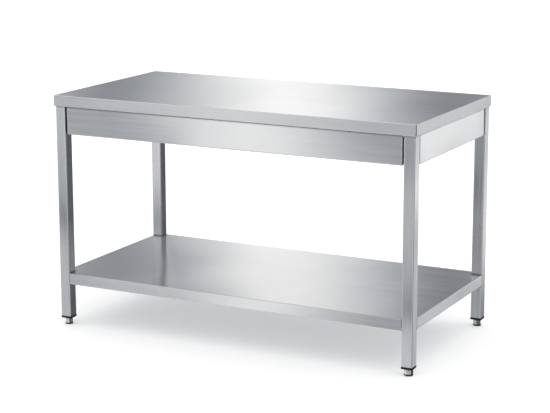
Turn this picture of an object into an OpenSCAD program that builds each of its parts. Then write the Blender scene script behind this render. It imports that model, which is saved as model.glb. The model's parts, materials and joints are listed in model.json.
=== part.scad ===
// Stainless steel work table: a folded worktop over four square legs, with an apron on each side,
// a bottom shelf notched round the legs, and a levelling foot under each leg.
// Millimetres. Origin on the floor under the table's centre, +X to the right, +Y to the back, +Z up.

/* [Table] */
// Width of the worktop, left to right
table_w = 1400; // [1200:50:1800]
// Depth of the worktop, front to back
table_d = 700; // [600:50:800]
// Height of the worktop over the floor
table_h = 850; // [840:10:900]

/* [Worktop] */
// Height of the edge folded down round the worktop
edge_h = 40; // [38:1:50]
// Thickness of the worktop's sheet
top_t = 1.2; // [1:0.1:1.5]
// Outer radius of the worktop's folds
top_fold_r = 2.5; // [2:0.1:4]
// Radius of the worktop's welded and ground corners
top_corner_r = 3; // [2.5:0.1:5]
// Width of the flange folded back under the edge
top_return_w = 30; // [28:1:34]
// How far the worktop stands out past the legs
overhang = 5; // [3:1:8]
// Thickness of the board glued under the sheet
board_t = 18; // [16:1:19]

/* [Legs] */
// Width of the square leg tube
leg_w = 40; // [38:1:45]
// Wall thickness of the leg tube
leg_t = 1.5; // [1.2:0.1:2]
// Outer corner radius of the leg tube
leg_r = 3; // [2.5:0.1:4]

/* [Aprons] */
// Height of the aprons
apron_h = 100; // [90:5:140]
// Thickness of the apron's sheet
apron_t = 1.2; // [1:0.1:1.5]
// How far an apron's face lies behind the leg's face
apron_setback = 2; // [1:0.5:6]
// Depth of the flanges folded round each apron
apron_flange_w = 28; // [26:1:30]
// Outer radius of the apron's folds
apron_fold_r = 3; // [2:0.1:4]
// Gap between each end of an apron and its leg
apron_gap = 5; // [3:0.5:8]

/* [Shelf] */
// Height of the shelf's surface over the floor
shelf_z = 195; // [180:5:300]
// Height of the edge folded down round the shelf
shelf_edge_h = 40; // [38:1:50]
// Thickness of the shelf's sheet
shelf_t = 1; // [0.8:0.1:1.5]
// Outer radius of the shelf's folds
shelf_fold_r = 2; // [1.6:0.1:3]
// Width of the flange folded back under the shelf's edge
shelf_return_w = 15; // [12:1:18]

/* [Feet] */
// Thickness of the plug's flange under the leg tube
plug_flange_h = 7; // [4:0.5:8]
// Gap between the plug's flange and the hexagon, with the table at its height
foot_gap = 1; // [1:0.5:10]
// Height of the hexagon
hex_h = 19; // [18:1:24]
// Width of the hexagon across its flats
hex_af = 27; // [25:0.5:28]
// Thickness of the swivelling pad
pad_h = 5; // [4:0.5:7]
// How far the pad's six sides stand out past the hexagon's
pad_proud = 0.25; // [0:0.05:1]
// Length of the threaded stud over the hexagon's socket
stud_l = 60; // [50:5:70]

/* [Hidden] */
$fn = 48;
STAINLESS = [0.78, 0.79, 0.80];
ZINC = [0.66, 0.68, 0.70];
BLACK = [0.07, 0.07, 0.08];
BOARD = [0.72, 0.58, 0.40];

// Corners of the table: name, side in X, side in Y, and how far the foot happens to be turned
CORNERS = [
    ["front_left", -1, -1, 4],
    ["front_right", 1, -1, 38],
    ["back_left", -1, 1, 22],
    ["back_right", 1, 1, 40]
];
LEFT_RIGHT = [["left", -1], ["right", 1]];
FRONT_BACK = [["front", -1], ["back", 1]];

// Places of the legs
leg_x = table_w / 2 - overhang - leg_w / 2;
leg_y = table_d / 2 - overhang - leg_w / 2;
frame_top = table_h - edge_h;
leg_bottom = pad_h + hex_h + foot_gap + plug_flange_h;

// Rivet nuts, with flanges between the legs and what is bolted to them
nut_flange_t = 1.5;
nut_flange_w = 2;
nut_play = 0.05;
thread_play = 0.05;
bolt_hole_play = 0.5;
// M8 for the aprons and M6 for the shelf: thread, length of bolt, radius and length of rivet nut
m8 = 8;
m8_bolt_l = 20;
m8_nut_r = 5.5;
m8_nut_l = 14;
m6 = 6;
m6_bolt_l = 14;
m6_nut_r = 4.5;
m6_nut_l = 12;

// Aprons: each bolt's height from the apron's middle, staggered so that the two rows miss each other
apron_mid_z = frame_top - apron_h / 2;
long_bolt_dz = 30;
short_bolt_dz = 15;
apron_corner_r = apron_t + 0.5;
// Rings that fill the rest of each gap round the bolts
spacer_d = 18;
spacer_t = apron_gap - nut_flange_t;
apron_relief = apron_fold_r + 1;
// Screws through the apron's top flange into the worktop's return flange
top_screw_edge = 9;
top_screw_inset = top_return_w - top_screw_edge;
top_screw_r = 2.4;
top_screw_l = 14;
long_screw_x = [-0.38, -0.11, 0.11, 0.38] * table_w;
short_screw_y = [-0.25, 0.25] * table_d;

// Worktop's board and the stiffeners that lie between the board and the return flanges
board_gap = 1.5;
board_z = table_h - top_t - board_t;
stiffener_x = 0.22 * table_w;
stiffener_h = board_z - frame_top - top_t;
stiffener_crown_w = 40;
stiffener_flange_w = 18;
stiffener_t = 1.2;
stiffener_fold_r = 1.2;
stiffener_end_gap = 2;
board_screw_r = 2;
board_screw_l = 14;
board_screw_play = 0.05;
board_screw_x = (stiffener_crown_w + stiffener_flange_w) / 2 + stiffener_fold_r;
board_screw_y = [-0.36, 0, 0.36] * table_d;

// Shelf, its stiffeners and its brackets
shelf_w = 2 * leg_x + leg_w;
shelf_d = 2 * leg_y + leg_w;
shelf_corner_r = shelf_t + 0.2;
notch_gap = 0.5;
shelf_stiffener_y = 0.18 * table_d;
shelf_stiffener_h = 20;
shelf_stiffener_crown_w = 50;
bracket_t = 2;
bracket_fold_r = 1;
bracket_arm = 28;
bracket_drop = 30;
bracket_inset = 5;
bracket_bolt_drop = 19;
bracket_bolt_z = shelf_z - shelf_t - bracket_bolt_drop;

// Levelling feet
stud_d = 10;
stud_chamfer = 1;
hex_floor_t = 9;
hex_chamfer = 1.6;
stud_base_z = pad_h + hex_floor_t;
pad_chamfer = 0.8;
pin_r = 4;
pin_h = 4;
pin_play = 0.05;
plug_proud = 0.8;
plug_play = 0.2;
plug_h = 25;
plug_wall = 2.5;
plug_rib = 2;
plug_boss_r = 9.5;
insert_r = 7.5;
insert_l = 18;
insert_play = 0.05;
stud_clearance = 0.4;

// ---- shapes that repeat ----

module rounded_rect(w, d, r) {
    square([w - 2 * r, d], center = true);
    square([w, d - 2 * r], center = true);
    for (x = [-1, 1], y = [-1, 1])
        translate([x * (w / 2 - r), y * (d / 2 - r)]) circle(r);
}

// A block standing on z = 0 with rounded top edges and corners, and rounded bottom edges if both is true
module rounded_block(w, d, h, edge_r, corner_r, both = false) {
    section_h = both ? h : 2 * h;
    section_z = both ? h / 2 : 0;
    intersection() {
        linear_extrude(h) rounded_rect(w, d, corner_r);
        translate([0, 0, section_z]) rotate([90, 0, 90])
            linear_extrude(w + 2, center = true) rounded_rect(d, section_h, edge_r);
        translate([0, 0, section_z]) rotate([90, 0, 0])
            linear_extrude(d + 2, center = true) rounded_rect(w, section_h, edge_r);
    }
}

// A sheet folded down on four sides and back under itself by return_w
module folded_tray(w, d, h, t, fold_r, corner_r, return_w) {
    difference() {
        rounded_block(w, d, h, fold_r, corner_r, both = true);
        translate([0, 0, t])
            rounded_block(w - 2 * t, d - 2 * t, h - 2 * t, fold_r - t, corner_r - t, both = true);
        cube([w - 2 * return_w, d - 2 * return_w, 4 * t], center = true);
    }
}

// A face plate with a flange folded back on each of its four sides, and a relief where they would meet
module flanged_plate(w, d, h, t, fold_r, corner_r, relief) {
    difference() {
        rounded_block(w, d, h, fold_r, corner_r);
        translate([0, 0, -1]) rounded_block(w - 2 * t, d - 2 * t, h - t + 1, fold_r - t, corner_r - t);
        for (x = [-1, 1], y = [-1, 1])
            translate([x * w / 2, y * d / 2, (h - fold_r) / 2 - 1])
                cube([2 * relief, 2 * relief, h - fold_r + 2], center = true);
    }
}

// A quarter of a ring, for a fold in a section, in the first quadrant before it is turned
module fold(r, t, turn) {
    rotate(turn) intersection() {
        difference() {
            circle(r + t);
            circle(r);
        }
        square(r + t);
    }
}

// Section of a hat channel: its crown on y = 0 and its flanges up at y = h
module hat_section(crown_w, flange_w, h, t, r) {
    outer = r + t;
    translate([-crown_w / 2 + outer, 0]) square([crown_w - 2 * outer, t]);
    for (s = [0, 1]) mirror([s, 0]) {
        translate([crown_w / 2 - outer, outer]) fold(r, t, -90);
        translate([crown_w / 2 - t, outer]) square([t, h - 2 * outer]);
        translate([crown_w / 2 - t + outer, h - outer]) fold(r, t, 90);
        translate([crown_w / 2 - t + outer, h - t]) square([flange_w, t]);
    }
}

// Section of a folded angle: its outer corner at the origin, one arm along -x and one along -y
module angle_section(arm, drop, t, r) {
    outer = r + t;
    translate([-arm, -t]) square([arm - outer, t]);
    translate([-t, -drop]) square([t, drop - outer]);
    translate([-outer, -outer]) fold(r, t, 0);
}

// A hexagon across its flats, with its corners chamfered at 30 degrees at the top
module chamfered_hex(af, h, chamfer) {
    corner_r = af / cos(30) / 2;
    intersection() {
        cylinder(r = corner_r, h = h, $fn = 6);
        union() {
            cylinder(r = corner_r + 0.1, h = h - chamfer);
            translate([0, 0, h - chamfer])
                cylinder(r1 = corner_r, r2 = corner_r - chamfer / tan(30), h = chamfer);
        }
    }
}

// A flanged hexagon bolt, its shank down from z = 0
module flange_bolt(d, l) {
    flange_t = 0.2 * d;
    translate([0, 0, -l]) cylinder(d = d - 2 * thread_play, h = l);
    cylinder(d = 2 * d, h = flange_t);
    translate([0, 0, flange_t]) chamfered_hex(1.6 * d, 0.7 * d, 0.08 * d);
}

// A blind rivet nut, its flange up from z = 0
module rivet_nut(d, body_r, l) {
    difference() {
        union() {
            translate([0, 0, -l]) cylinder(r = body_r, h = l);
            cylinder(r = body_r + nut_flange_w, h = nut_flange_t);
        }
        translate([0, 0, -l - 1]) cylinder(d = d, h = l + nut_flange_t + 2);
    }
}

// A pan head screw, its shank up from z = 0 and its head below
module pan_screw(r, l) {
    cylinder(r = r, h = l - 2 * r);
    translate([0, 0, l - 2 * r]) cylinder(r1 = r, r2 = 0.3 * r, h = 2 * r);
    translate([0, 0, -0.5 * r]) cylinder(r = 2 * r, h = 0.5 * r);
    translate([0, 0, -r]) cylinder(r1 = 1.4 * r, r2 = 2 * r, h = 0.5 * r);
}

// Puts a piece drawn for the back right leg at any corner; its own origin is on the leg's axis
module at_corner(c) {
    translate([c[1] * leg_x, c[2] * leg_y, 0])
        mirror([c[1] < 0 ? 1 : 0, 0, 0]) mirror([0, c[2] < 0 ? 1 : 0, 0]) children();
}

// Puts a piece drawn facing the front on the front or the back
module on_front_or_back(side) {
    rotate([0, 0, side < 0 ? 0 : 180]) children();
}

// Puts a piece drawn facing the front on the left or the right
module on_left_or_right(side) {
    rotate([0, 0, side < 0 ? -90 : 90]) children();
}

// Turns +z to face the table's middle from the leg's inner X face, off_face away from it
module on_inner_x(off_face, z) {
    translate([-leg_w / 2 - off_face, 0, z]) rotate([0, -90, 0]) children();
}

// The same from the leg's inner Y face
module on_inner_y(off_face, z) {
    translate([0, -leg_w / 2 - off_face, z]) rotate([90, 0, 0]) children();
}

// At each bolt through an apron's end flange into a leg
module at_apron_bolts(off_face) {
    for (s = [-1, 1]) {
        on_inner_x(off_face, apron_mid_z + s * long_bolt_dz) children();
        on_inner_y(off_face, apron_mid_z + s * short_bolt_dz) children();
    }
}

// At each bolt through a shelf bracket into a leg
module at_shelf_bolts(off_face) {
    on_inner_x(off_face, bracket_bolt_z) children();
    on_inner_y(off_face, bracket_bolt_z) children();
}

// At each screw through an apron's top flange, at height z
module at_top_screws(z) {
    for (s = [-1, 1]) {
        for (x = long_screw_x) translate([x, s * (table_d / 2 - top_screw_inset), z]) children();
        for (y = short_screw_y) translate([s * (table_w / 2 - top_screw_inset), y, z]) children();
    }
}

// At each screw through a stiffener's flange, at height z
module at_board_screws(z) {
    for (s = [-1, 1], e = [-1, 1], y = board_screw_y)
        translate([s * stiffener_x + e * board_screw_x, y, z]) children();
}

// ---- the worktop ----

module worktop() color(STAINLESS) difference() {
    translate([0, 0, frame_top])
        folded_tray(table_w, table_d, edge_h, top_t, top_fold_r, top_corner_r, top_return_w);
    at_top_screws(frame_top - 1) cylinder(r = top_screw_r + thread_play, h = top_t + 2);
}

module worktop_underlay() color(BOARD) difference() {
    translate([0, 0, board_z + board_t / 2])
        cube([table_w - 2 * (top_t + board_gap), table_d - 2 * (top_t + board_gap), board_t], center = true);
    at_board_screws(board_z - 1) cylinder(r = board_screw_r + board_screw_play, h = board_screw_l + 1);
}

module worktop_stiffener(side) color(STAINLESS) difference() {
    translate([side * stiffener_x, 0, frame_top + top_t]) rotate([90, 0, 0])
        linear_extrude(table_d - 2 * (top_t + stiffener_end_gap), center = true)
            hat_section(stiffener_crown_w, stiffener_flange_w, stiffener_h, stiffener_t, stiffener_fold_r);
    at_board_screws(board_z - 3) cylinder(r = board_screw_r + bolt_hole_play, h = 6);
}

// ---- the aprons ----

// An apron facing the front, length long, with its face at y = -face
module apron(length, face, bolt_dz, screw_xs) {
    difference() {
        translate([0, apron_flange_w - face, apron_mid_z]) rotate([90, 0, 0])
            flanged_plate(length, apron_h, apron_flange_w, apron_t, apron_fold_r,
                          apron_corner_r, apron_relief);
        for (x = [-1, 1], z = [-1, 1])
            translate([x * length / 2, -face + leg_w / 2 - apron_setback, apron_mid_z + z * bolt_dz])
                rotate([0, 90, 0]) cylinder(d = m8 + 2 * bolt_hole_play, h = 10, center = true);
        for (x = screw_xs)
            translate([x, -face + top_screw_inset - overhang - apron_setback, frame_top - 3])
                cylinder(r = top_screw_r + bolt_hole_play, h = 6);
    }
}

module long_apron(side) color(STAINLESS) on_front_or_back(side)
    apron(2 * leg_x - leg_w - 2 * apron_gap, leg_y + leg_w / 2 - apron_setback, long_bolt_dz, long_screw_x);

module short_apron(side) color(STAINLESS) on_left_or_right(side)
    apron(2 * leg_y - leg_w - 2 * apron_gap, leg_x + leg_w / 2 - apron_setback, short_bolt_dz, short_screw_y);

// ---- the legs ----

module leg(c) color(STAINLESS) at_corner(c) difference() {
    translate([0, 0, leg_bottom]) linear_extrude(frame_top - leg_bottom) difference() {
        rounded_rect(leg_w, leg_w, leg_r);
        rounded_rect(leg_w - 2 * leg_t, leg_w - 2 * leg_t, leg_r - leg_t);
    }
    at_apron_bolts(-leg_t - 1) cylinder(r = m8_nut_r + nut_play, h = leg_t + 2);
    at_shelf_bolts(-leg_t - 1) cylinder(r = m6_nut_r + nut_play, h = leg_t + 2);
}

module leg_plug(c) color(BLACK) at_corner(c) {
    body_w = leg_w - 2 * (leg_t + plug_play);
    body_r = leg_r - leg_t - plug_play;
    difference() {
        union() {
            translate([0, 0, leg_bottom - plug_flange_h]) linear_extrude(plug_flange_h)
                rounded_rect(leg_w + 2 * plug_proud, leg_w + 2 * plug_proud, leg_r + plug_proud);
            translate([0, 0, leg_bottom]) linear_extrude(plug_h) {
                difference() {
                    rounded_rect(body_w, body_w, body_r);
                    square(body_w - 2 * plug_wall, center = true);
                }
                circle(plug_boss_r);
                square([body_w - plug_wall, plug_rib], center = true);
                square([plug_rib, body_w - plug_wall], center = true);
            }
        }
        translate([0, 0, leg_bottom - plug_flange_h - 1])
            cylinder(d = stud_d + 2 * stud_clearance, h = plug_flange_h + plug_h + 2);
        translate([0, 0, leg_bottom]) cylinder(r = insert_r + insert_play, h = insert_l);
    }
}

module insert_nut(c) color(ZINC) at_corner(c) translate([0, 0, leg_bottom]) difference() {
    cylinder(r = insert_r, h = insert_l);
    translate([0, 0, -1]) cylinder(d = stud_d + 2 * thread_play, h = insert_l + 2);
}

// ---- the levelling feet ----

module foot_stud(c) color(ZINC) at_corner(c) translate([0, 0, stud_base_z]) {
    cylinder(d = stud_d, h = stud_l - stud_chamfer);
    translate([0, 0, stud_l - stud_chamfer])
        cylinder(d1 = stud_d, d2 = stud_d - 2 * stud_chamfer, h = stud_chamfer);
}

module foot_hex(c) color(STAINLESS) at_corner(c) translate([0, 0, pad_h]) difference() {
    rotate(c[3]) chamfered_hex(hex_af, hex_h, hex_chamfer);
    translate([0, 0, hex_floor_t]) cylinder(d = stud_d + 2 * thread_play, h = hex_h);
    translate([0, 0, -1]) cylinder(r = pin_r + pin_play, h = pin_h + 2);
}

module foot_pad(c) color(BLACK) at_corner(c) {
    rotate(c[3]) intersection() {
        chamfered_hex(hex_af + 2 * pad_proud, pad_h, pad_chamfer);
        translate([0, 0, pad_h]) mirror([0, 0, 1]) chamfered_hex(hex_af + 2 * pad_proud, pad_h, pad_chamfer);
    }
    cylinder(r = pin_r, h = pad_h + pin_h);
}

// ---- the shelf ----

module shelf() color(STAINLESS) difference() {
    translate([0, 0, shelf_z - shelf_edge_h])
        folded_tray(shelf_w, shelf_d, shelf_edge_h, shelf_t, shelf_fold_r, shelf_corner_r, shelf_return_w);
    for (c = CORNERS) translate([c[1] * leg_x, c[2] * leg_y, shelf_z - shelf_edge_h / 2])
        cube([leg_w + 2 * notch_gap, leg_w + 2 * notch_gap, shelf_edge_h + 2], center = true);
}

module shelf_stiffener(side) color(STAINLESS)
    translate([0, side * shelf_stiffener_y, shelf_z - shelf_t - shelf_stiffener_h]) rotate([90, 0, 90])
        linear_extrude(shelf_w - 2 * (shelf_t + stiffener_end_gap), center = true)
            hat_section(shelf_stiffener_crown_w, stiffener_flange_w, shelf_stiffener_h,
                stiffener_t, stiffener_fold_r);

module shelf_bracket(c) color(STAINLESS) at_corner(c) {
    face = leg_w / 2 + nut_flange_t;
    tip = leg_w / 2 - bracket_inset;
    difference() {
        translate([0, 0, shelf_z - shelf_t]) for (m = [0, 1]) mirror([m, -m, 0]) {
            translate([-face, tip, 0]) rotate([90, 0, 0])
                linear_extrude(2 * tip) angle_section(bracket_arm, bracket_drop, bracket_t, bracket_fold_r);
            translate([-face - bracket_arm, -face - bracket_arm, -bracket_t])
                cube([bracket_arm - bracket_t - bracket_fold_r, face + bracket_arm - tip, bracket_t]);
        }
        at_shelf_bolts(nut_flange_t - 1) cylinder(d = m6 + 2 * bolt_hole_play, h = bracket_t + 2);
    }
}

// ---- the fasteners ----

module apron_bolts() color(ZINC) for (c = CORNERS) at_corner(c)
    at_apron_bolts(apron_gap + apron_t) flange_bolt(m8, m8_bolt_l);

module apron_spacers() color(ZINC) for (c = CORNERS) at_corner(c)
    at_apron_bolts(nut_flange_t) difference() {
        cylinder(d = spacer_d, h = spacer_t);
        translate([0, 0, -1]) cylinder(d = m8 + 2 * bolt_hole_play, h = spacer_t + 2);
    }

module apron_rivet_nuts() color(ZINC) for (c = CORNERS) at_corner(c)
    at_apron_bolts(0) rivet_nut(m8, m8_nut_r, m8_nut_l);

module shelf_bolts() color(ZINC) for (c = CORNERS) at_corner(c)
    at_shelf_bolts(nut_flange_t + bracket_t) flange_bolt(m6, m6_bolt_l);

module shelf_rivet_nuts() color(ZINC) for (c = CORNERS) at_corner(c)
    at_shelf_bolts(0) rivet_nut(m6, m6_nut_r, m6_nut_l);

module worktop_screws() color(ZINC) at_top_screws(frame_top - apron_t) pan_screw(top_screw_r, top_screw_l);

module stiffener_screws() color(ZINC)
    at_board_screws(board_z - stiffener_t) pan_screw(board_screw_r, board_screw_l);

// ---- what is drawn ----

worktop();
worktop_underlay();
shelf();
for (s = LEFT_RIGHT) {
    worktop_stiffener(s[1]);
    short_apron(s[1]);
}
for (s = FRONT_BACK) {
    shelf_stiffener(s[1]);
    long_apron(s[1]);
}
for (c = CORNERS) {
    leg(c);
    leg_plug(c);
    insert_nut(c);
    shelf_bracket(c);
    foot_stud(c);
    foot_hex(c);
    foot_pad(c);
}
apron_bolts();
apron_spacers();
apron_rivet_nuts();
shelf_bolts();
shelf_rivet_nuts();
worktop_screws();
stiffener_screws();
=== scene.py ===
"""Looks of the stainless work table: camera, light, floor, materials and small details."""
import json
import math

import bpy
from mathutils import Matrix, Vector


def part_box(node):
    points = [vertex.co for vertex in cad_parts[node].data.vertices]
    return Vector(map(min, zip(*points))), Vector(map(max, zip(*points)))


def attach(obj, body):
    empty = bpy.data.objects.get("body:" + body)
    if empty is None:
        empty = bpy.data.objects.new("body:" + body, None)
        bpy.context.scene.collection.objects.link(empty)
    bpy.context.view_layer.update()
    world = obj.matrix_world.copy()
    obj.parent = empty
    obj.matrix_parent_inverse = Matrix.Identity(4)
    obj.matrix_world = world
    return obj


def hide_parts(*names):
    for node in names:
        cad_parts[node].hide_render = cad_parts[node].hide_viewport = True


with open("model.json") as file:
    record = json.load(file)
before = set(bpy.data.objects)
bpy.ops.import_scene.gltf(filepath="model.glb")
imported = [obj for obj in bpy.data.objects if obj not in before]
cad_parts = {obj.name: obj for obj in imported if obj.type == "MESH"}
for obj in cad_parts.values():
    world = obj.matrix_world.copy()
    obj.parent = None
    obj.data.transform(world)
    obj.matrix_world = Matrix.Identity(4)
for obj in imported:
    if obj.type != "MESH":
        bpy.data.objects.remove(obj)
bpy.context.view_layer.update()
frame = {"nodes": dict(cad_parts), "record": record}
slots = {part["node"]: part["material_slot"] for part in frame["record"]["subparts"]}
CORNERS = ("front_left", "front_right", "back_left", "back_right")
STEEL = (0.62, 0.625, 0.635)
# The materials whose faces lean, which take their seeds in this order
WAVY = ["worktop_steel", "shelf_steel", "front_apron", "right_apron"]
WAVY += [kind + corner for kind in ("leg_", "foot_hex_") for corner in CORNERS]
FIRST_SEED = 1


# ---- camera ----

def make_camera():
    """The photograph's view: from the front right, looking down a little."""
    data = bpy.data.cameras.new("camera")
    camera = bpy.data.objects.new("camera", data)
    bpy.context.scene.collection.objects.link(camera)
    data.sensor_width = 36
    data.lens = 108.9
    data.shift_x = -0.027
    data.shift_y = -0.05
    yaw, pitch = math.radians(26.7), math.radians(11.61)
    camera.location = (2.698, -5.225, 1.752)
    camera.rotation_euler = (math.pi / 2 - pitch, 0, yaw)
    bpy.context.scene.camera = camera


# ---- node helpers ----

def set_inputs(tree, node, inputs):
    """Links each given socket to its input, and sets each given value on its input."""
    for key, value in inputs.items():
        if isinstance(value, bpy.types.NodeSocket):
            tree.links.new(value, node.inputs[key])
        else:
            node.inputs[key].default_value = value


def add(tree, kind, inputs=None, **settings):
    """Adds a shader node and returns it."""
    node = tree.nodes.new("ShaderNode" + kind)
    for key, value in settings.items():
        setattr(node, key, value)
    set_inputs(tree, node, inputs or {})
    return node


def calc(tree, operation, *values):
    """Adds a Math node and returns its result."""
    return add(tree, "Math", dict(enumerate(values)), operation=operation).outputs[0]


def vector(tree, operation, *values):
    """Adds a Vector Math node and returns its vector."""
    return add(tree, "VectorMath", dict(enumerate(values)), operation=operation).outputs["Vector"]


def scaled(tree, value, factor):
    """Scales a vector."""
    return add(tree, "VectorMath", {0: value, "Scale": factor}, operation="SCALE").outputs["Vector"]


def remap(tree, value, low, high, to_low, to_high, smooth=False):
    """Maps a value from one range to another, clamped at both ends."""
    inputs = {"Value": value, "From Min": low, "From Max": high, "To Min": to_low, "To Max": to_high}
    kind = "SMOOTHSTEP" if smooth else "LINEAR"
    return add(tree, "MapRange", inputs, interpolation_type=kind).outputs["Result"]


def rise(tree, value, start, end):
    """0 below the start, 1 above the end, and smooth between them."""
    return remap(tree, value, start, end, 0, 1, smooth=True)


def spread(tree, value, low, high):
    """Maps a noise's usual values to a range."""
    return remap(tree, value, 0.3, 0.7, low, high)


def mix(tree, factor, low, high):
    """Blends two numbers."""
    return add(tree, "Mix", {"Factor": factor, "A": low, "B": high}, data_type="FLOAT").outputs["Result"]


def blend_vectors(tree, factor, first, second):
    """Blends two vectors."""
    inputs = {"Factor": factor, 4: first, 5: second}
    return add(tree, "Mix", inputs, data_type="VECTOR").outputs[1]


def noise(tree, place, scale, detail, roughness=0.5):
    """Adds a noise texture and returns its value."""
    inputs = {"Vector": place, "Scale": scale, "Detail": detail, "Roughness": roughness}
    return add(tree, "TexNoise", inputs).outputs["Fac"]


def bump(tree, height, strength, distance, normal=None):
    """Adds a Bump node on the given normal, or else on the piece's own, and returns its normal."""
    inputs = {"Height": height, "Strength": strength, "Distance": distance}
    if normal is not None:
        inputs["Normal"] = normal
    return add(tree, "Bump", inputs).outputs["Normal"]


def new_material(name):
    """A material with a Principled shader on its output."""
    material = bpy.data.materials.new(name)
    material.use_nodes = True
    tree = material.node_tree
    tree.nodes.clear()
    surface = add(tree, "BsdfPrincipled")
    add(tree, "OutputMaterial", {"Surface": surface.outputs["BSDF"]})
    return material, tree, surface


# ---- stage and light ----

def ramp(tree, value, stops):
    """A smooth curve through (place, level) stops, as a grey colour ramp that reads up to level 2."""
    node = add(tree, "ValToRGB", {"Fac": value})
    curve = node.color_ramp
    curve.interpolation = "EASE"
    while len(curve.elements) < len(stops):
        curve.elements.new(0.5)
    for element, (place, level) in zip(curve.elements, stops):
        element.position = place
        element.color = (level / 2, level / 2, level / 2, 1)
    return calc(tree, "MULTIPLY", node.outputs["Color"], 2)


def window(tree, value, middle, half_width, softness):
    """1 where an angle in radians is near the middle, and 0 elsewhere. All but the angle is in degrees."""
    turned = calc(tree, "SUBTRACT", value, math.radians(middle))
    away = calc(tree, "ARCCOSINE", calc(tree, "COSINE", turned))
    edge, soft = math.radians(half_width), math.radians(softness)
    return remap(tree, away, edge - soft, edge + soft, 1, 0, smooth=True)


def make_world():
    """A soft studio: upright strips all round, a plain ceiling above, and dark flags in places. What is below
    the floor's level shows only in reflections."""
    strip_count, strip_centre = 29, 117.4
    strip_level, gap_above, gap_below = 1.55, 0.25, 0.5
    dimmed, ceiling_level = 0.85, 1.1
    cool, warm = (0.925, 0.98, 1.075), (1.005, 1.0, 0.985)
    # Elevations in degrees, and how bright the strips are there, below the horizon
    heights = ((-90, 0.9), (-40, 0.8), (-25, 0.85), (-16.5, 0.95), (-14.8, 1.05), (-12.4, 1.0), (0, 1.0))
    # Middle, half width and softness of each flag across, the same up and down, and its shade
    flags = (
        (52, 12, 2.4, -36, 54, 6, 0.12),
        (252, 3.5, 0.7, -48, 48, 6, 0.4),
        (335, 40, 8, -36, 54, 6, 0.3),
        (241, 14, 2, -13.6, 0.9, 0.7, 0.4),
        (70, 9, 3, -40, 26, 3, 0.6),
        (75, 5, 0.6, -36, 54, 6, 0.6),
        (239, 2, 0.8, -12.4, 1.4, 0.6, 0.5),
        (120, 1.5, 0.8, 15, 2.5, 1.5, 0.7),
    )
    world = bpy.data.worlds.new("world")
    bpy.context.scene.world = world
    world.use_nodes = True
    tree = world.node_tree
    tree.nodes.clear()
    coords = add(tree, "TexCoord")
    # The direction looked in: z is the sine of the elevation
    x, y, z = add(tree, "SeparateXYZ", {"Vector": coords.outputs["Generated"]}).outputs
    angle = calc(tree, "ARCTAN2", y, x)
    elevation = calc(tree, "ARCSINE", z)
    turned = calc(tree, "SUBTRACT", angle, math.radians(strip_centre))
    wave = calc(tree, "COSINE", calc(tree, "MULTIPLY", turned, strip_count))
    upper = remap(tree, wave, -1, 1, gap_above, strip_level)
    upper = calc(tree, "MULTIPLY", upper, remap(tree, z, 0.156, 0.28, 1, dimmed))
    upper = mix(tree, rise(tree, z, 0.45, 0.8), upper, ceiling_level)
    height = remap(tree, elevation, math.radians(-90), 0, 0, 1)
    height = ramp(tree, height, [(1 + degrees / 90, level) for degrees, level in heights])
    lower = calc(tree, "MULTIPLY", remap(tree, wave, -1, 1, gap_below, strip_level), height)
    level = mix(tree, rise(tree, z, -0.12, 0.1), lower, upper)
    for across, wide, soft, up, tall, fade, shade in flags:
        inside = calc(tree, "MULTIPLY", window(tree, angle, across, wide, soft),
                      window(tree, elevation, up, tall, fade))
        level = calc(tree, "MULTIPLY", level, mix(tree, inside, 1, shade))
    tint = blend_vectors(tree, remap(tree, level, 0.3, 1.2, 0, 1), cool, warm)
    background = add(tree, "Background", {"Color": scaled(tree, tint, level)})
    add(tree, "OutputWorld", {"Surface": background.outputs["Background"]})


def make_floor(half=60, shade=0.95, glow=0.34):
    """A plain white floor, lit partly from within, so that the shadow under the table stays pale."""
    mesh = bpy.data.meshes.new("floor")
    corners = [(-half, -half, 0), (half, -half, 0), (half, half, 0), (-half, half, 0)]
    mesh.from_pydata(corners, [], [(0, 1, 2, 3)])
    floor = bpy.data.objects.new("floor", mesh)
    bpy.context.scene.collection.objects.link(floor)
    floor.visible_glossy = False
    material, tree, surface = new_material("floor")
    set_inputs(tree, surface, {"Base Color": (shade, shade, shade, 1), "Roughness": 1})
    set_inputs(tree, surface, {"Specular IOR Level": 0, "Emission Color": (1, 1, 1, 1)})
    set_inputs(tree, surface, {"Emission Strength": glow})
    mesh.materials.append(material)


# ---- materials ----

def leaning(tree, place, normal, name, sway):
    """The normal leaning a little one way and the other. A piece's side, front and top have a seed each."""
    first = FIRST_SEED + 3 * WAVY.index(name)
    inputs = {0: vector(tree, "ABSOLUTE", normal), 1: (first, first + 1, first + 2)}
    seed = add(tree, "VectorMath", inputs, operation="DOT_PRODUCT").outputs["Value"]
    inputs = {"Vector": place, "W": seed, "Scale": 2.2, "Detail": 0.6, "Roughness": 0.35}
    waves = add(tree, "TexNoise", inputs, noise_dimensions="4D")
    lean = scaled(tree, vector(tree, "SUBTRACT", waves.outputs["Color"], (0.5, 0.5, 0.5)), sway)
    return vector(tree, "NORMALIZE", vector(tree, "ADD", normal, lean))


def joint_painted_shade(tree, reach=0.01):
    """Painted shade that darkens steel close to where another piece meets it, as far as ambient occlusion
    finds it hidden.
    """
    openness = add(tree, "AmbientOcclusion", {"Distance": reach}, samples=8).outputs["AO"]
    return remap(tree, openness, 0.45, 0.95, 0.2, 1)


def corner_weld_and_painted_reflection(tree, place, node, width=0.0025):
    """1 on a folded sheet's upright corners, where it is welded and ground and where a dark reflection of the
    rounded corner is painted, and 0 elsewhere.
    """
    _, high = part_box(node)
    x, y, _ = add(tree, "SeparateXYZ", {"Vector": place}).outputs
    near_x = remap(tree, calc(tree, "ABSOLUTE", x), high.x - width, high.x - width * 0.8, 0, 1)
    near_y = remap(tree, calc(tree, "ABSOLUTE", y), high.y - width, high.y - width * 0.8, 0, 1)
    return calc(tree, "MULTIPLY", near_x, near_y)


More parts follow.
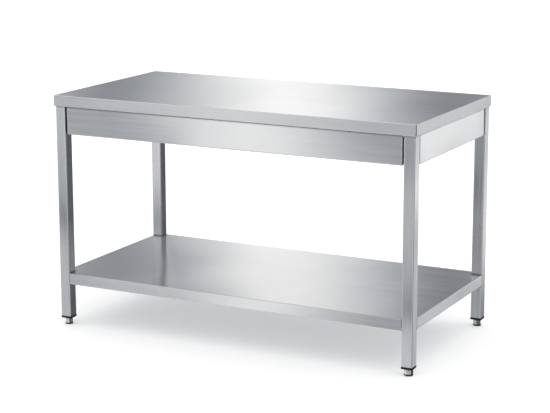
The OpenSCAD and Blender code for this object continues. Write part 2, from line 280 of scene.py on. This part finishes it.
def along_grain(tree, place, grain, scales):
    """Coordinates for a noise stretched along the grain, from its scales along and across."""
    along, across = scales
    return vector(tree, "MULTIPLY", place, [along if a == grain else across for a in "xyz"])


def brushed(name, grain, sway, roughness, anisotropy, sheet=None, edge_roughness=None):
    """Brushed stainless steel. A folded sheet, given by its node, is brushed along its edges all round, with
    a roughness of their own, and has darker ground welds at its corners, their darkness partly a painted dark
    reflection of the rounded corners."""
    fine_scales, wide_scales = (14, 2200), (2.5, 110)
    # The corners' shade is partly the ground weld's own finish and partly a painted dark reflection of the
    # rounded corner
    weld_and_painted_reflection_shade, weld_roughness = 0.3, 0.4
    material, tree, surface = new_material(name)
    place = add(tree, "TexCoord").outputs["Object"]
    flat = add(tree, "NewGeometry").outputs["Normal"]
    normal = leaning(tree, place, flat, name, sway)
    axis = add(tree, "CombineXYZ", {grain.upper(): 1}).outputs["Vector"]
    fine = along_grain(tree, place, grain, fine_scales)
    wide = along_grain(tree, place, grain, wide_scales)
    weld = 0.0
    if sheet:
        on_side, _, on_top = add(tree, "SeparateXYZ", {"Vector": vector(tree, "ABSOLUTE", flat)}).outputs
        roughness = remap(tree, on_top, 0.4, 0.8, edge_roughness, roughness)
        on_side = calc(tree, "GREATER_THAN", on_side, 0.7)
        fine = blend_vectors(tree, on_side, fine, along_grain(tree, place, "y", fine_scales))
        wide = blend_vectors(tree, on_side, wide, along_grain(tree, place, "y", wide_scales))
        axis = blend_vectors(tree, on_side, axis, (0, 1, 0))
        weld = corner_weld_and_painted_reflection(tree, place, sheet)
    fine = noise(tree, fine, 1, 4, 0.65)
    wide = noise(tree, wide, 1, 3, 0.6)
    clouds = noise(tree, place, 9, 3)
    tone = calc(tree, "MULTIPLY", spread(tree, fine, 0.95, 1.05), spread(tree, wide, 0.97, 1.03))
    tone = calc(tree, "MULTIPLY", tone, spread(tree, clouds, 0.985, 1.015))
    # Darker at the corners: the ground welds, and a painted dark reflection of the rounded corners
    tone = calc(tree, "MULTIPLY", tone, mix(tree, weld, 1, weld_and_painted_reflection_shade))
    # Painted shade near the joints, from ambient occlusion
    tone = calc(tree, "MULTIPLY", tone, joint_painted_shade(tree))
    rough = calc(tree, "ADD", spread(tree, fine, -0.02, 0.02), spread(tree, wide, -0.015, 0.015))
    rough = calc(tree, "ADD", rough, mix(tree, weld, roughness, weld_roughness))
    tangent = vector(tree, "NORMALIZE", vector(tree, "CROSS_PRODUCT", normal, axis))
    scratched = bump(tree, fine, 0.5, 0.000004, normal)
    set_inputs(tree, surface, {"Metallic": 1, "Base Color": scaled(tree, STEEL, tone), "Roughness": rough})
    set_inputs(tree, surface, {"Anisotropic": anisotropy, "Normal": scratched, "Tangent": tangent})
    return material


def dull_steel(name, colour, roughness, blotch, size, sway=0):
    """Steel that isn't brushed, such as mill finish sheet or zinc plate, with blotches and a finer mottle.
    With a sway, its faces lean and it gets painted shade at its joints."""
    material, tree, surface = new_material(name)
    place = add(tree, "TexCoord").outputs["Object"]
    coarse = noise(tree, place, size, 4)
    mottle = noise(tree, place, size * 12, 2)
    tone = calc(tree, "MULTIPLY", spread(tree, coarse, 1 - blotch, 1 + blotch),
                spread(tree, mottle, 1 - blotch / 3, 1 + blotch / 3))
    rough = spread(tree, coarse, roughness + 0.05, roughness - 0.05)
    normal = None
    if sway:
        flat = add(tree, "NewGeometry").outputs["Normal"]
        normal = leaning(tree, place, flat, name, sway)
        # Painted shade near the joints, from ambient occlusion
        tone = calc(tree, "MULTIPLY", tone, joint_painted_shade(tree))
    mottled = bump(tree, mottle, 0.08, 0.0003, normal)
    set_inputs(tree, surface, {"Metallic": 1, "Base Color": scaled(tree, colour, tone)})
    set_inputs(tree, surface, {"Roughness": rough, "Normal": mottled})
    return material


def plastic(name, colour, roughness):
    """Moulded plastic with a fine grain, rubbed a little smoother in places."""
    material, tree, surface = new_material(name)
    place = add(tree, "TexCoord").outputs["Object"]
    grainy = bump(tree, noise(tree, place, 1400, 2), 0.25, 0.0002)
    rubbed = noise(tree, place, 60, 3)
    tint = scaled(tree, colour, spread(tree, rubbed, 0.8, 1.25))
    rough = spread(tree, rubbed, roughness + 0.07, roughness - 0.07)
    set_inputs(tree, surface, {"Base Color": tint, "Roughness": rough})
    set_inputs(tree, surface, {"Normal": grainy, "Specular IOR Level": 0.2})
    return material


def particle_board(name):
    """Pressed wood chips, in a few shades of tan, under a thin coat of sealer."""
    dark, pale = (0.36, 0.25, 0.14), (0.58, 0.44, 0.28)
    material, tree, surface = new_material(name)
    place = add(tree, "TexCoord").outputs["Object"]
    stretched = vector(tree, "MULTIPLY", place, (220, 420, 420))
    chips = add(tree, "TexVoronoi", {"Vector": stretched, "Scale": 1})
    shade = add(tree, "SeparateColor", {"Color": chips.outputs["Color"]}).outputs["Red"]
    patches = noise(tree, place, 14, 3)
    tint = scaled(tree, blend_vectors(tree, shade, dark, pale), spread(tree, patches, 0.9, 1.1))
    pressed = bump(tree, shade, 0.2, 0.0003)
    set_inputs(tree, surface, {"Base Color": tint, "Roughness": remap(tree, shade, 0, 1, 0.75, 0.6)})
    set_inputs(tree, surface, {"Normal": pressed})
    return material


def make_materials():
    """One material for each slot, or more where its pieces are brushed different ways or wave differently."""
    foot_grey, mill_grey, zinc_grey = (0.5, 0.5, 0.505), (0.5, 0.505, 0.515), (0.52, 0.54, 0.57)
    made = {}
    for slot, node, edges in (("worktop_steel", "worktop", 0.28), ("shelf_steel", "shelf", 0.18)):
        made[slot] = brushed(slot, "x", sway=0.06, roughness=0.18, anisotropy=0.95, sheet=node,
                             edge_roughness=edges)
    for side, grain in (("front_apron", "x"), ("right_apron", "y")):
        made[side] = brushed(side, grain, sway=0.08, roughness=0.18, anisotropy=0.95)
    made["back_apron"], made["left_apron"] = made["front_apron"], made["right_apron"]
    for corner in CORNERS:
        leg, foot = "leg_" + corner, "foot_hex_" + corner
        made[leg] = brushed(leg, "z", sway=0.1, roughness=0.12, anisotropy=0.6)
        made[foot] = dull_steel(foot, foot_grey, roughness=0.16, blotch=0.04, size=90, sway=0.35)
    made["folded_steel"] = dull_steel("folded_steel", mill_grey, roughness=0.32, blotch=0.06, size=18)
    made["zinc_steel"] = dull_steel("zinc_steel", zinc_grey, roughness=0.26, blotch=0.1, size=70)
    made["black_plastic"] = plastic("black_plastic", (0.006, 0.006, 0.007), roughness=0.45)
    made["pad_plastic"] = plastic("pad_plastic", (0.012, 0.012, 0.013), roughness=0.55)
    made["underlay_board"] = particle_board("underlay_board")
    return made


def dress(materials):
    """Gives each CAD node its material, by its own name or else by its slot."""
    for name, obj in frame["nodes"].items():
        obj.data.materials.clear()
        obj.data.materials.append(materials.get(name) or materials[slots[name]])


# ---- small details ----

def thread(name, low, high, pitch, depth, chamfer, steps=24, rings_per_turn=6, flat=0.125):
    """A threaded rod along Z in the given box, with its crest and root cut flat, and a chamfer at its top."""
    radius, x, y = (high.x - low.x) / 2, (low.x + high.x) / 2, (low.y + high.y) / 2
    rings = round((high.z - low.z) / pitch * rings_per_turn)
    mesh = bpy.data.meshes.new(name)
    corners, faces = [(x, y, low.z)], []
    for ring in range(rings + 1):
        z = low.z + (high.z - low.z) * ring / rings
        for step in range(steps):
            turn = step / steps
            phase = ((z - low.z) / pitch - turn) % 1
            groove = min(1, max(0, (1 + 2 * flat) * (1 - abs(2 * phase - 1)) - flat))
            r = min(radius - depth * groove, radius - chamfer + high.z - z)
            corners.append((x + r * math.cos(math.tau * turn), y + r * math.sin(math.tau * turn), z))
    corners.append((x, y, high.z))
    for step in range(steps):
        following = (step + 1) % steps
        faces.append((0, 1 + following, 1 + step))
        for ring in range(rings):
            base = 1 + ring * steps
            faces.append((base + step, base + following, base + steps + following, base + steps + step))
        last = 1 + rings * steps
        faces.append((len(corners) - 1, last + step, last + following))
    mesh.from_pydata(corners, [], faces)
    mesh.shade_smooth()
    obj = bpy.data.objects.new(name, mesh)
    bpy.context.scene.collection.objects.link(obj)
    return obj


def add_threads(materials):
    """Puts a thread in place of each levelling foot's plain stud."""
    for corner in CORNERS:
        node = "foot_stud_" + corner
        low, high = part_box(node)
        stud = thread("thread_" + corner, low, high, pitch=0.0015, depth=0.0008, chamfer=0.001)
        stud.data.materials.append(materials["zinc_steel"])
        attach(stud, "foot_" + corner)
        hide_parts(node)


def ease_edges(width=0.0004):
    """Rounds the sharp edges of the small machined and moulded pieces, so that they catch the light."""
    kinds = ("foot_hex_", "foot_pad_", "leg_plug_")
    for name, obj in frame["nodes"].items():
        if name.startswith(kinds):
            obj.modifiers.new("weld", "WELD").merge_threshold = 0.00001
            bevel = obj.modifiers.new("bevel", "BEVEL")
            bevel.width, bevel.segments, bevel.angle_limit = width, 2, math.radians(40)
            bevel.harden_normals = True


make_camera()
make_world()
make_floor()
bpy.context.scene.view_settings.view_transform = "Standard"
materials = make_materials()
dress(materials)
add_threads(materials)
ease_edges()
